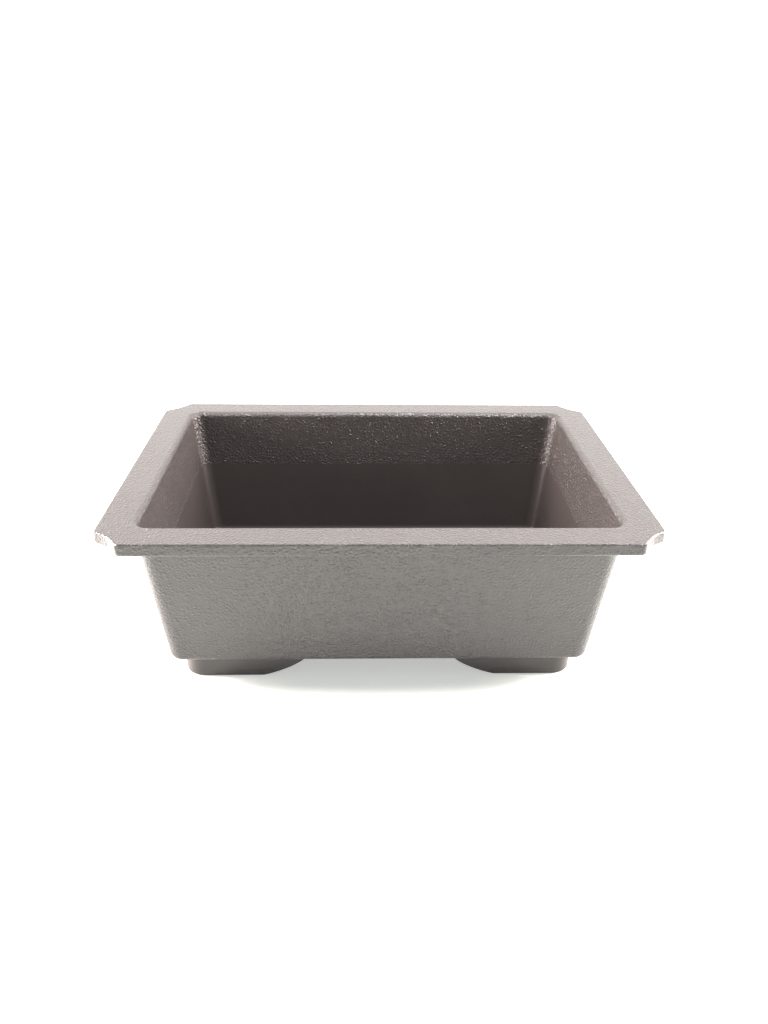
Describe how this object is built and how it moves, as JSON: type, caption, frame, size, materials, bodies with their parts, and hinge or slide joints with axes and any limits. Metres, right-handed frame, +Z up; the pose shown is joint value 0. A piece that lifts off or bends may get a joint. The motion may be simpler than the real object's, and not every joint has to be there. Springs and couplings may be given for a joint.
{
  "type": "bonsai pot",
  "caption": "Rectangular plastic bonsai training pot with a wide cut-corner rim, bracket feet and wire-clipped mesh screens over its drain holes.",
  "frame": {"origin": "centre of the pot's footprint, on the ground", "axes": "+X along the pot's length, -Y towards its front, +Z up"},
  "size_m": [0.2, 0.144, 0.072],
  "materials": {
    "pot_plastic": "dark brown, fine leather grain, soft sheen",
    "screen_plastic": "black moulded mesh",
    "clip_wire": "soft satin wire"
  },
  "bodies": {
    "root": {"pot_body": "pot_plastic", "drain_screen_left": "screen_plastic", "drain_screen_right": "screen_plastic", "screen_clip_left": "clip_wire", "screen_clip_right": "clip_wire"}
  },
  "joints": []
}
